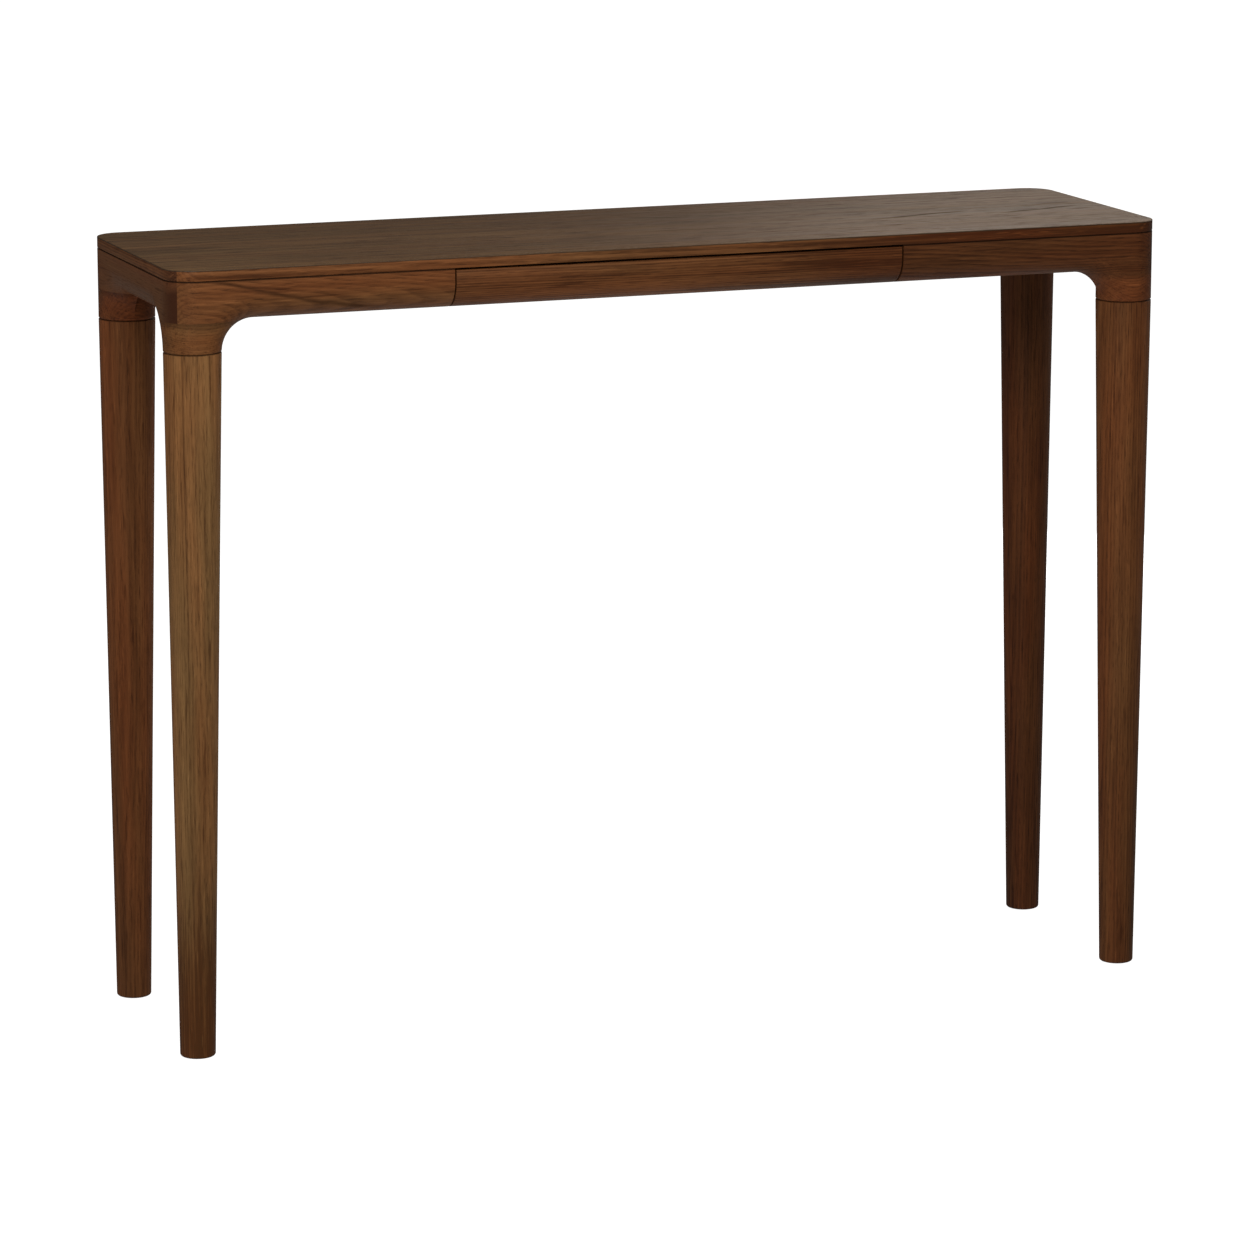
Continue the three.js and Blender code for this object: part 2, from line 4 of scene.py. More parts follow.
import bmesh
import bpy
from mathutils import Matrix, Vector


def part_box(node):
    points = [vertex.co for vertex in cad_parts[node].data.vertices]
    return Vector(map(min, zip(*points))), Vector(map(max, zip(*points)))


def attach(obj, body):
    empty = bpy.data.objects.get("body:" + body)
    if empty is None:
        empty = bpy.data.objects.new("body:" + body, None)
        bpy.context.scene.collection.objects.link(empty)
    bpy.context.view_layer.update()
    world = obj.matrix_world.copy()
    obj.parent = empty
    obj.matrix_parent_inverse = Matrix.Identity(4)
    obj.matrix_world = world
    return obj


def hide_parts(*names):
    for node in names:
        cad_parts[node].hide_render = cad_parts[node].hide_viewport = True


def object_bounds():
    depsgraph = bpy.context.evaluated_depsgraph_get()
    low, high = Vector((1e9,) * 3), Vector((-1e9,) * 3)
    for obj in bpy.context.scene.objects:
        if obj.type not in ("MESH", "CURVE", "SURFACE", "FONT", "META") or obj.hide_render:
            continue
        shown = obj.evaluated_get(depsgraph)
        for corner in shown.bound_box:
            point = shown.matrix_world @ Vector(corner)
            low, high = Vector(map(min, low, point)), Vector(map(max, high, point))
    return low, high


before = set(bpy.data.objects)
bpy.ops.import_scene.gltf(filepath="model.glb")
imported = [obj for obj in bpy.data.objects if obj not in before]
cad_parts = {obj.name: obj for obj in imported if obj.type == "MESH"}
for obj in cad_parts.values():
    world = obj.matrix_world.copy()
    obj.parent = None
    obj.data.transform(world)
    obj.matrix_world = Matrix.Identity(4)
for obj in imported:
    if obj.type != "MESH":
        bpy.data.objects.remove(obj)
cad_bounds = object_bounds()

MM = 0.001
SAME_POINT = 0.001 * MM
SLIVER = 0.01 * MM  # points of a bevelled piece that are closer than this are welded

# ------------------------------------------------------------------ sizes from the frame

top_low_corner, top_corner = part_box("top_veneer")
HALF_X, HALF_Y, TOP_Z = top_corner
VENEER_Z = top_low_corner.z
BOARD_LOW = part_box("lipping_front")[0].z
RAIL_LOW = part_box("back_rail")[0].z
RAIL_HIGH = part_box("back_rail")[1].z
HEAD_HEIGHT = 35 * MM
HEAD_LOW = RAIL_LOW - HEAD_HEIGHT
FOOT_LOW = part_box("leg_front_left")[0].z
DRAWER_FRONT_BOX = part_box("drawer_front")
RAIL_THICKNESS = DRAWER_FRONT_BOX[1].y - DRAWER_FRONT_BOX[0].y
STUB_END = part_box("front_rail_right")[0].x
insert_low, insert_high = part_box("leg_insert_front_right")
AXIS_X = (insert_low.x + insert_high.x) / 2
AXIS_Y = -(insert_low.y + insert_high.y) / 2
LEG_RADIUS = HALF_X - AXIS_X
glide_low, glide_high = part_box("glide_front_right")
LEG_LEAN = (glide_low.x + glide_high.x) / 2 - AXIS_X

# Shape details that the frame doesn't give
RAIL_ROUND = 31 * MM
ARCH_RADIUS = RAIL_LOW - HEAD_LOW
ARCH_ALONG = LEG_RADIUS + ARCH_RADIUS
FOOT_RADIUS = 20.2 * MM
FOOT_ROUND = 3 * MM
JOINT_CHAMFER = 1.2 * MM
GROOVE_DEPTH = 1.5 * MM
GROOVE_HEIGHT = 1.7 * MM
GROOVE_FLOOR = RAIL_HIGH - GROOVE_HEIGHT + 0.3 * MM
HAIRLINE = 0.03 * MM
JOINT_GAP = 0.1 * MM
TOP_EASE = 0.7 * MM
SHEET_LOW = VENEER_Z - 0.25 * MM
SHARP_ANGLE = 38
ROUND_STEPS = 18
CORNER_STEPS = 12
ARCH_STEPS = 26
HEAD_STEPS = 20
LEG_STEPS = 24
LIPPING_WIDTH = 20 * MM
END_LIPPING_WIDTH = HALF_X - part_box("lipping_right")[0].x

SIDES = {"left": -1, "right": 1}
CORNERS = {"front_left": (-1, -1), "front_right": (1, -1), "back_left": (-1, 1), "back_right": (1, 1)}


# ------------------------------------------------------------------ camera, light and floor

CAMERA_PLACE = (-2.197, -5.823, 1.7388)
CAMERA_YAW, CAMERA_PITCH = -0.3597, 0.2074
CAMERA_LENS = 155.77
FLOOR_SIZE = 120

# The world's strength everywhere, then patches of it, each (direction, cosine where the patch starts,
# strength added at its middle)
BASE_GLOW = 0.3
GLOWS = (((-0.15, 1, 0.15), 0.3, -0.24), ((-1, -0.2, 0.2), 0.2, 0.25), ((0, -0.6, -1), 0.2, 0.22),
         ((0, 0.35, -1), 0.35, 0.45))


def make_camera():
    data = bpy.data.cameras.new("camera")
    data.sensor_width = 36
    data.lens = CAMERA_LENS
    data.clip_end = 100
    camera = bpy.data.objects.new("camera", data)
    camera.location = CAMERA_PLACE
    camera.rotation_euler = (math.pi / 2 - CAMERA_PITCH, 0, CAMERA_YAW)
    bpy.context.scene.collection.objects.link(camera)
    bpy.context.scene.camera = camera


def area_light(name, place, target, size, power, color=(1, 1, 1), glossy=True):
    data = bpy.data.lights.new(name, "AREA")
    data.shape = "RECTANGLE"
    data.size, data.size_y = size
    data.energy = power
    data.color = color
    light = bpy.data.objects.new(name, data)
    light.location = place
    light.visible_camera = False
    light.visible_glossy = glossy
    direction = Vector(target) - Vector(place)
    light.rotation_euler = direction.to_track_quat("-Z", "Y").to_euler()
    bpy.context.scene.collection.objects.link(light)


def make_world():
    """Soft surroundings: brighter on the left and low down, dimmest behind the table."""
    world = bpy.data.worlds.new("studio")
    bpy.context.scene.world = world
    world.use_nodes = True
    nodes, links = world.node_tree.nodes, world.node_tree.links
    direction = nodes.new("ShaderNodeTexCoord").outputs["Generated"]
    strength = BASE_GLOW
    for towards, start, extra in GLOWS:
        facing = nodes.new("ShaderNodeVectorMath")
        facing.operation = "DOT_PRODUCT"
        facing.inputs[1].default_value = Vector(towards).normalized()
        links.new(direction, facing.inputs[0])
        patch = nodes.new("ShaderNodeMapRange")
        patch.interpolation_type = "SMOOTHSTEP"
        patch.inputs["From Min"].default_value = start
        patch.inputs["To Max"].default_value = extra
        links.new(facing.outputs["Value"], patch.inputs["Value"])
        total = nodes.new("ShaderNodeMath")
        total.operation = "ADD"
        links.new(patch.outputs["Result"], total.inputs[1])
        if isinstance(strength, float):
            total.inputs[0].default_value = strength
        else:
            links.new(strength, total.inputs[0])
        strength = total.outputs[0]
    background = nodes["Background"]
    background.inputs["Color"].default_value = (1, 0.98, 0.95, 1)
    links.new(strength, background.inputs["Strength"])


def make_floor():
    """A plain pale floor that lets a view from below through."""
    bpy.ops.mesh.primitive_plane_add(size=FLOOR_SIZE, location=(0, 0, 0))
    floor = bpy.context.object
    floor.name = "floor"
    material = bpy.data.materials.new("pale_floor")
    material.use_nodes = True
    shader = material.node_tree.nodes["Principled BSDF"]
    shader.inputs["Base Color"].default_value = (0.3, 0.3, 0.3, 1)
    shader.inputs["Roughness"].default_value = 0.9
    shader.inputs["Specular IOR Level"].default_value = 0.0
    shader.inputs["Emission Color"].default_value = (1, 1, 1, 1)
    shader.inputs["Emission Strength"].default_value = 1.0
    nodes, links = material.node_tree.nodes, material.node_tree.links
    one_way = nodes.new("ShaderNodeMixShader")
    links.new(nodes.new("ShaderNodeNewGeometry").outputs["Backfacing"], one_way.inputs[0])
    links.new(shader.outputs[0], one_way.inputs[1])
    links.new(nodes.new("ShaderNodeBsdfTransparent").outputs[0], one_way.inputs[2])
    links.new(one_way.outputs[0], nodes["Material Output"].inputs["Surface"])
    floor.data.materials.append(material)
    floor.visible_glossy = False
    floor.visible_diffuse = False


# ------------------------------------------------------------------ materials

class Graph:
    """Short calls for building a material's nodes."""

    def __init__(self, name):
        self.material = bpy.data.materials.new(name)
        self.material.use_nodes = True
        self.tree = self.material.node_tree
        self.shader = self.tree.nodes["Principled BSDF"]

    def put(self, socket, value):
        if isinstance(value, bpy.types.NodeSocket):
            self.tree.links.new(value, socket)
        else:
            socket.default_value = value

    def node(self, kind, inputs=None, **settings):
        made = self.tree.nodes.new(kind)
        for key, value in settings.items():
            setattr(made, key, value)
        for key, value in (inputs or {}).items():
            self.put(made.inputs[key], value)
        return made

    def math(self, operation, *values, clamp=False):
        made = self.node("ShaderNodeMath", operation=operation, use_clamp=clamp)
        for socket, value in zip(made.inputs, values):
            self.put(socket, value)
        return made.outputs[0]

    def step(self, value, low, high, to_low=0.0, to_high=1.0):
        limits = {"Value": value, "From Min": low, "From Max": high, "To Min": to_low, "To Max": to_high}
        return self.node("ShaderNodeMapRange", limits, interpolation_type="SMOOTHSTEP").outputs["Result"]

    def mix(self, factor, a, b, blend="MIX"):
        made = self.node("ShaderNodeMix", data_type="RGBA", blend_type=blend)
        self.put(made.inputs["Factor"], factor)
        self.put(made.inputs[6], a)
        self.put(made.inputs[7], b)
        return made.outputs[2]

    def noise(self, vector, scale, detail=2.0, roughness=0.5, distortion=0.0):
        """Noise of that many features per metre along each axis."""
        stretched = self.node("ShaderNodeMapping", {"Vector": vector, "Scale": scale}).outputs[0]
        inputs = {"Vector": stretched, "Scale": 1.0, "Detail": detail, "Roughness": roughness,
                  "Distortion": distortion}
        return self.node("ShaderNodeTexNoise", inputs).outputs[0]

    def noise_color(self, vector, scale, detail=2.0):
        """Three noises at once, as a vector."""
        stretched = self.node("ShaderNodeMapping", {"Vector": vector, "Scale": scale}).outputs[0]
        inputs = {"Vector": stretched, "Scale": 1.0, "Detail": detail}
        return self.node("ShaderNodeTexNoise", inputs).outputs[1]

    def figure(self, along, up, wood, start, stop, width, depth):
        """A dark streak from start to stop, each (along, up), that wavers and feathers out."""
        run = stop[0] - start[0]
        slope = (stop[1] - start[1]) / run
        waver = self.noise(wood, (24, 60, 60), detail=2)
        line = self.math("MULTIPLY_ADD", self.math("SUBTRACT", along, start[0]), slope, start[1])
        off = self.math("ABSOLUTE", self.math("SUBTRACT", self.math("SUBTRACT", up, line),
                                              self.math("MULTIPLY_ADD", waver, 9 * MM, -4.5 * MM)))
        band = self.step(off, 0.0, width, depth, 0.0)
        here = self.math("DIVIDE", self.math("SUBTRACT", along, start[0]), run)
        ends = self.math("MULTIPLY", self.step(here, -0.1, 0.25), self.step(here, 0.75, 1.1, 1.0, 0.0))
        return self.math("MULTIPLY", band, ends)


# Turns the row frame so that the grain runs along the texture's first axis
GRAIN_TURN = {"x": (0, 0, 0), "y": (0, 0, -math.pi / 2), "z": (0, math.pi / 2, 0)}
GRAIN_AXIS = {"x": (1, 0, 0), "y": (0, 1, 0), "z": (0, 0, 1)}

# Noise features per metre, along the grain and the two ways across it
SWAY = (1.8, 12, 12)
WANDER = (1.0, 8, 8)
RIPPLE = (2, 42, 42)
CLOUD = (7, 28, 28)
BANDS = (1.5, 70, 70)
STREAKS = (7, 250, 250)
FIBRE = (26, 1300, 1300)
DASHES = (19, 330, 330)
FLECKS = (33, 520, 520)
DRIFT = (2.5, 24, 24)
PORES = (55, 1900, 1900)

# The rays' noise features: per metre along the grain, per radian round the pith, per metre out from it
RAYS = (30, 110, 90)

# What the tone is multiplied by
DEEP_WOOD = (0.40, 0.34, 0.30)
LIGHT_WOOD = (1.62, 1.72, 1.80)
RUBBED_EDGE = (1.9, 2.0, 2.1)
END_GRAIN = (0.25, 0.2, 0.2)
TOWARDS_ENDS_DARK = (0.28, 0.2, 0.17)
DARK_FIGURE = (0.15,) * 3
OPEN_PORE = (0.25,) * 3
PALE_RAY = (1.25,) * 3
DARK_LINE = (0.2,) * 3
DARK_SEAM = (0.12,) * 3


def shade(tone, factors):
    return (*[c * k for c, k in zip(tone, factors)], 1)


def oak(name, tone, grain, seed, pith=(0.0, -0.12), tilt=0.0, ring=2.8 * MM, contrast=1.0, rings=1.0,
        end_stain=0.5, gloss=0.5, shine=0.08, pores=0.65, dashed=0.3, hue=1.0, figures=(),
        flat=False, fade=None, line=None, seams=(), dark_ends=None):
    """Stained oak as a solid texture: growth rings about a pith line, streaks, open pores and fine fibre.

    tone is the middle colour and grain the axis the fibres follow. pith is where the ring centre lies
    across the grain and tilt how fast the rings climb along it. figures are single dark streaks, on a flat
    face or an upright one. fade is a change of tone along the grain: painted shade where less light falls
    along a face, painted light where more falls. line is a dark eased edge. seams are joints and grooves
    made darker, with stain gathered in the joints and painted shade in the grooves, and dark_ends darkens
    the wood towards both ends, less near the top.
    """
    g = Graph(name)
    place = g.node("ShaderNodeTexCoord").outputs["Object"]
    turned = g.node("ShaderNodeMapping", {"Vector": place, "Rotation": GRAIN_TURN[grain]}).outputs[0]
    along, side, up = g.node("ShaderNodeSeparateXYZ", {"Vector": turned}).outputs
    moved = (3.1 * seed, 1.7 * seed, 2.3 * seed)
    wood = g.node("ShaderNodeMapping", {"Vector": turned, "Location": moved}).outputs[0]
    # the fibres sway a few millimetres across the grain
    sway = g.noise_color(wood, SWAY, detail=1)
    bent = g.node("ShaderNodeVectorMath", {0: sway, 1: (0.5, 0.5, 0.5)}, operation="SUBTRACT").outputs[0]
    bent = g.node("ShaderNodeVectorMath", {0: bent, 1: (0, 4 * MM, 4 * MM)}, operation="MULTIPLY").outputs[0]
    wood = g.node("ShaderNodeVectorMath", {0: wood, 1: bent}, operation="ADD").outputs[0]

    # growth rings: distance from a slightly wandering pith line, each ring with a strength of its own
    wander = g.noise(wood, WANDER, detail=2)
    offset_side = g.math("SUBTRACT", side, pith[0])
    offset_up = g.math("SUBTRACT", up, pith[1])
    distance = g.math("SQRT", g.math("ADD", g.math("MULTIPLY", offset_side, offset_side),
                                     g.math("MULTIPLY", offset_up, offset_up)))
    distance = g.math("MULTIPLY_ADD", along, tilt, distance)
    distance = g.math("MULTIPLY_ADD", wander, 24 * MM, distance)
    distance = g.math("MULTIPLY_ADD", g.noise(wood, RIPPLE, detail=1), 7 * MM, distance)
    count = g.math("DIVIDE", distance, ring)
    phase = g.math("FRACT", count)
    chance = g.node("ShaderNodeTexWhiteNoise", {"W": g.math("FLOOR", count)}, noise_dimensions="1D")
    strength = chance.outputs["Value"]
    early = g.math("MULTIPLY", g.step(phase, 0.0, 0.15), g.step(phase, 0.3, 0.9, 1.0, 0.0))
    late = g.math("MULTIPLY", early, g.math("MULTIPLY_ADD", strength, 0.7, 0.3))

    # tone between 0, deep, and 1, light
    cloud = g.noise(wood, CLOUD, detail=2)
    bands = g.noise(wood, BANDS, detail=2)
    streaks = g.noise(wood, STREAKS, detail=4, roughness=0.62)
    fibre = g.noise(wood, FIBRE, detail=3, roughness=0.65)
    value = g.math("MULTIPLY_ADD", g.math("SUBTRACT", bands, 0.5), 0.9 * contrast, 0.5)
    value = g.math("MULTIPLY_ADD", g.math("SUBTRACT", cloud, 0.5), 0.5 * contrast, value)
    value = g.math("MULTIPLY_ADD", g.math("SUBTRACT", streaks, 0.5), 1.25 * contrast, value)
    value = g.math("MULTIPLY_ADD", g.math("SUBTRACT", fibre, 0.5), 0.7 * contrast, value)
    value = g.math("MULTIPLY_ADD", g.math("SUBTRACT", late, 0.25), -0.4 * rings, value)
    dashes = g.step(g.noise(wood, DASHES, detail=1.5), 0.6, 0.72)
    value = g.math("MULTIPLY_ADD", dashes, -dashed, value)
    flecks = g.step(g.noise(wood, FLECKS, detail=1.5), 0.62, 0.74)
    value = g.math("MULTIPLY_ADD", flecks, 0.3 * contrast, value)
    if fade:
        # the fade: painted shade and painted light along a face, following how the light falls
        faded = g.step(along, fade[0], fade[1], fade[2], fade[3])
        value = g.math("ADD", value, faded)
    ramp = g.node("ShaderNodeValToRGB", {"Fac": value})
    stops = ramp.color_ramp.elements
    stops[0].position, stops[0].color = 0.0, shade(tone, DEEP_WOOD)
    stops[1].position, stops[1].color = 1.0, shade(tone, LIGHT_WOOD)
    middle = stops.new(0.5)
    middle.color = (*tone, 1)
    drift = g.noise(wood, DRIFT, detail=2)
    tint = g.mix(g.step(drift, 0.3, 0.7), (0.93, 1.04, 1.08, 1), (1.08, 0.96, 0.90, 1))
    color = g.mix(hue, ramp.outputs["Color"], tint, blend="MULTIPLY")
    # where the fade darkens, the painted shade is also made redder
    if fade:
        redder = g.step(faded, -0.5, -0.25, 1.0, 0.0)
        color = g.mix(redder, color, g.mix(1.0, color, (1.0, 0.84, 0.72, 1), blend="MULTIPLY"))
    coarse = g.math("MULTIPLY", dashes, dashed)
    for start, stop, width, depth in figures:
        streak = g.figure(along, side if flat else up, wood, start, stop, width, depth)
        color = g.mix(streak, color, shade(tone, DARK_FIGURE))
        coarse = g.math("MAXIMUM", coarse, streak)

    # stain rubbed thin along the edges
    rounded = g.node("ShaderNodeBevel", {"Radius": 0.8 * MM}, samples=4).outputs[0]
    true_normal = g.node("ShaderNodeNewGeometry").outputs["Normal"]
    edge = g.node("ShaderNodeVectorMath", {0: rounded, 1: true_normal}, operation="DOT_PRODUCT")
    rub = g.math("MULTIPLY", g.step(edge.outputs["Value"], 0.75, 0.98, 0.35, 0.0), g.step(cloud, 0.35, 0.6))
    color = g.mix(rub, color, shade(tone, RUBBED_EDGE))

    # open pores, thickest in the early wood
    pore_noise = g.noise(wood, PORES, detail=1.5, roughness=0.7)
    pore = g.math("MULTIPLY", g.step(pore_noise, 0.54, 0.63), g.math("MULTIPLY_ADD", early, 0.7, 0.3))
    color = g.mix(g.math("MULTIPLY", pore, pores), color, shade(tone, OPEN_PORE))

    # end grain drinks more stain
    normal = g.node("ShaderNodeTexCoord").outputs["Normal"]
    end = g.node("ShaderNodeVectorMath", {0: normal, 1: GRAIN_AXIS[grain]}, operation="DOT_PRODUCT")
    end_grain = g.step(g.math("ABSOLUTE", end.outputs["Value"]), 0.05, 0.5)
    color = g.mix(g.math("MULTIPLY", end_grain, end_stain), color, shade(tone, END_GRAIN))

    # rays: fine light lines that run out from the pith and show on the end grain
    turn = g.math("ARCTAN2", offset_up, offset_side)
    ray_place = g.node("ShaderNodeCombineXYZ", {0: along, 1: turn, 2: distance}).outputs[0]
    rays = g.step(g.noise(ray_place, RAYS, detail=1), 0.55, 0.68)
    shown = g.math("MULTIPLY", g.math("MULTIPLY", rays, end_grain), 0.5)
    color = g.mix(shown, color, shade(tone, PALE_RAY))

    # stain gathered in eased edges and joints, the wood darker towards the mitres, painted shade in the
    # grooves
    if line:
        upright = g.math("ABSOLUTE", g.node("ShaderNodeSeparateXYZ", {"Vector": normal}).outputs[2])
        color = g.mix(g.step(upright, 0.35, 0.85, line, 0.0), color, shade(tone, DARK_LINE))
    height = g.node("ShaderNodeSeparateXYZ", {"Vector": place}).outputs[2]
    # darker towards both ends of the piece, less near the top
    if dark_ends:
        start, stop, depth = dark_ends
        gathered = g.step(g.math("ABSOLUTE", along), start, stop, 0.0, depth)
        less_near_top = g.step(height, RAIL_HIGH - 16 * MM, RAIL_HIGH - 3 * MM, 1.0, 0.3)
        color = g.mix(g.math("MULTIPLY", gathered, less_near_top), color, shade(tone, TOWARDS_ENDS_DARK))
    # darker along each seam: stain gathered in the joints, painted shade in the grooves
    for seam, depth, reach in seams:
        near = g.math("ABSOLUTE", g.math("SUBTRACT", height, seam))
        color = g.mix(g.step(near, 0.2 * MM, reach, depth, 0.0), color, shade(tone, DARK_SEAM))
    g.put(g.shader.inputs["Base Color"], color)

    worn = g.step(bands, 0.25, 0.75, gloss - 0.05, gloss + 0.05)
    rough = g.math("MULTIPLY_ADD", pore, 0.25, g.math("MULTIPLY_ADD", coarse, 0.5, worn), clamp=True)
    g.put(g.shader.inputs["Roughness"], rough)
    g.shader.inputs["Specular IOR Level"].default_value = shine

    relief = g.math("SUBTRACT", g.math("MULTIPLY", streaks, 0.3), g.math("MULTIPLY", pore, 0.8))
    relief = g.math("MULTIPLY_ADD", coarse, -0.3, relief)
    bump = g.node("ShaderNodeBump", {"Strength": 0.5, "Distance": 0.15 * MM, "Height": relief})
    g.put(g.shader.inputs["Normal"], bump.outputs[0])
    return g.material


def zinc_steel():
    g = Graph("zinc_steel")
    place = g.node("ShaderNodeTexCoord").outputs["Object"]
    cloud = g.noise(place, (60, 60, 60), detail=3)
    brushed = g.noise(place, (2200, 90, 2200), detail=2)
    tint = g.mix(g.step(cloud, 0.35, 0.65), (0.5, 0.51, 0.5, 1), (0.62, 0.62, 0.6, 1))
    g.put(g.shader.inputs["Base Color"], tint)
    g.shader.inputs["Metallic"].default_value = 1.0
    g.put(g.shader.inputs["Roughness"], g.step(brushed, 0.3, 0.7, 0.28, 0.42))
    bump = g.node("ShaderNodeBump", {"Strength": 0.2, "Distance": 0.05 * MM, "Height": brushed})
    g.put(g.shader.inputs["Normal"], bump.outputs[0])
    return g.material


def nylon():
    g = Graph("glide_nylon")
    place = g.node("ShaderNodeTexCoord").outputs["Object"]
    scuffs = g.noise(place, (350, 350, 350), detail=4, roughness=0.7)
    g.put(g.shader.inputs["Base Color"], g.mix(scuffs, (0.02, 0.018, 0.016, 1), (0.045, 0.04, 0.036, 1)))
    g.put(g.shader.inputs["Roughness"], g.step(scuffs, 0.3, 0.7, 0.45, 0.7))
    g.shader.inputs["Specular IOR Level"].default_value = 0.3
    bump = g.node("ShaderNodeBump", {"Strength": 0.4, "Distance": 0.08 * MM, "Height": scuffs})
    g.put(g.shader.inputs["Normal"], bump.outputs[0])
    return g.material


def fibreboard():
    g = Graph("fibreboard")
    place = g.node("ShaderNodeTexCoord").outputs["Object"]
    grain = g.noise(place, (700, 700, 700), detail=4, roughness=0.7)
    g.put(g.shader.inputs["Base Color"], g.mix(grain, (0.055, 0.032, 0.017, 1), (0.12, 0.072, 0.039, 1)))
    g.shader.inputs["Roughness"].default_value = 0.85
    g.shader.inputs["Specular IOR Level"].default_value = 0.15
    bump = g.node("ShaderNodeBump", {"Strength": 0.4, "Distance": 0.1 * MM, "Height": grain})
    g.put(g.shader.inputs["Normal"], bump.outputs[0])
    return g.material


# ------------------------------------------------------------------ mesh helpers

def add_piece(name, bm, material, body, node, bevel=0.35 * MM, sharp=SHARP_ANGLE):
    """Makes a piece from bm that stands for a CAD node."""
    bmesh.ops.recalc_face_normals(bm, faces=bm.faces)
    mesh = bpy.data.meshes.new(name)
    bm.to_mesh(mesh)
    bm.free()
    piece = bpy.data.objects.new(name, mesh)
    bpy.context.scene.collection.objects.link(piece)
    if bevel:
        edge = piece.modifiers.new("edge", "BEVEL")
        edge.width = bevel
        edge.segments = 2
        edge.limit_method = "ANGLE"
        edge.angle_limit = math.radians(sharp)
        edge.use_clamp_overlap = True
        apply_modifiers(piece)
    low, high = cad_bounds
    for vert in piece.data.vertices:
        vert.co = [min(max(at, least), most) for at, least, most in zip(vert.co, low, high)]
    piece.data.shade_smooth()
    piece.data.set_sharp_from_angle(angle=math.radians(sharp))
    piece.data.materials.append(material)
    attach(piece, body)
    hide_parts(node)


def apply_modifiers(piece):
    """Gives a piece the mesh that its modifiers make, without slivers."""
    evaluated = piece.evaluated_get(bpy.context.evaluated_depsgraph_get())
    mesh = bpy.data.meshes.new_from_object(evaluated)
    bm = bmesh.new()
    bm.from_mesh(mesh)
    bmesh.ops.remove_doubles(bm, verts=bm.verts, dist=SLIVER)
    bm.to_mesh(mesh)
    bm.free()
    old = piece.data
    piece.modifiers.clear()
    piece.data = mesh
    bpy.data.meshes.remove(old)


def loft(rings):
    """A closed body through equal rings of points, with flat ends."""
    bm = bmesh.new()
    rows = [[bm.verts.new(p) for p in ring] for ring in rings]
    count = len(rings[0])
    for near, far in zip(rows, rows[1:]):
        for i in range(count):
            j = (i + 1) % count
            bm.faces.new((near[i], near[j], far[j], far[i]))
    bm.faces.new(rows[0][::-1])
    bm.faces.new(rows[-1])
    return bm


def spin(profile, segments, place):
    """A turned body about the vertical line at place, from (radius, height) points that end on the line."""
    bm = bmesh.new()
    ends = [bm.verts.new((0, 0, profile[0][1])), bm.verts.new((0, 0, profile[-1][1]))]
    rows = []
    for radius, height in profile[1:-1]:
        angles = (2 * math.pi * k / segments for k in range(segments))
        rows.append([bm.verts.new((radius * math.cos(a), radius * math.sin(a), height)) for a in angles])
    for near, far in zip(rows, rows[1:]):
        for i in range(segments):
            j = (i + 1) % segments
            bm.faces.new((near[i], near[j], far[j], far[i]))
    for i in range(segments):
        j = (i + 1) % segments
        bm.faces.new((ends[0], rows[0][j], rows[0][i]))
        bm.faces.new((ends[1], rows[-1][i], rows[-1][j]))
    bmesh.ops.translate(bm, verts=bm.verts, vec=place)
    return bm


# ------------------------------------------------------------------ the top

def rounded_plan(half_x, half_y, radius, steps=24):
    """Outline of the top, counter-clockwise from the right end."""
    points = []
    for sx, sy, start in ((1, 1, 0), (-1, 1, 90), (-1, -1, 180), (1, -1, 270)):
        for k in range(steps + 1):
            angle = math.radians(start + 90 * k / steps)
            points.append((sx * (half_x - radius) + radius * math.cos(angle),
                           sy * (half_y - radius) + radius * math.sin(angle)))
    return points


def make_veneer(material):
    """The top sheet, with its upper edge eased."""
    levels = [(SHEET_LOW, 0.0)]
    for k in range(5):
        angle = math.pi / 2 * k / 4
        levels.append((TOP_Z - TOP_EASE + TOP_EASE * math.sin(angle), TOP_EASE * (1 - math.cos(angle))))
    rings = [[(x, y, z) for x, y in rounded_plan(HALF_X - inset, HALF_Y - inset, LEG_RADIUS - inset)]
             for z, inset in levels]
    add_piece("top_sheet", loft(rings), material, "frame", "top_veneer", bevel=0)


def corner_strip(sx, width):
    """Plan of an end lipping: the end of the rounded outline, cut off straight."""
    cut = HALF_X - width
    points = [(x, y) for x, y in rounded_plan(HALF_X, HALF_Y, LEG_RADIUS) if x > cut]
    reach = AXIS_Y + math.sqrt(LEG_RADIUS ** 2 - (cut - AXIS_X) ** 2)
    right = sorted(points, key=lambda p: math.atan2(p[1], p[0]))
    plan = [(cut, -reach), *right, (cut, reach)]
    return [(sx * x, y) for x, y in plan]


def long_strip(sy, width):
    """Plan of a front or back lipping: it follows the rounding from one end lipping to the other."""
    cut = HALF_X - END_LIPPING_WIDTH - HAIRLINE
    inner = AXIS_Y + LEG_RADIUS - width
    start = math.acos((cut - AXIS_X) / LEG_RADIUS)
    arc = [start + (math.pi / 2 - start) * k / CORNER_STEPS for k in range(CORNER_STEPS + 1)]
    right = [(AXIS_X + LEG_RADIUS * math.cos(a), AXIS_Y + LEG_RADIUS * math.sin(a)) for a in arc]
    left = [(-x, y) for x, y in reversed(right)]
    plan = [(cut, inner), *right, *left, (-cut, inner)]
    return [(x, sy * y) for x, y in plan]


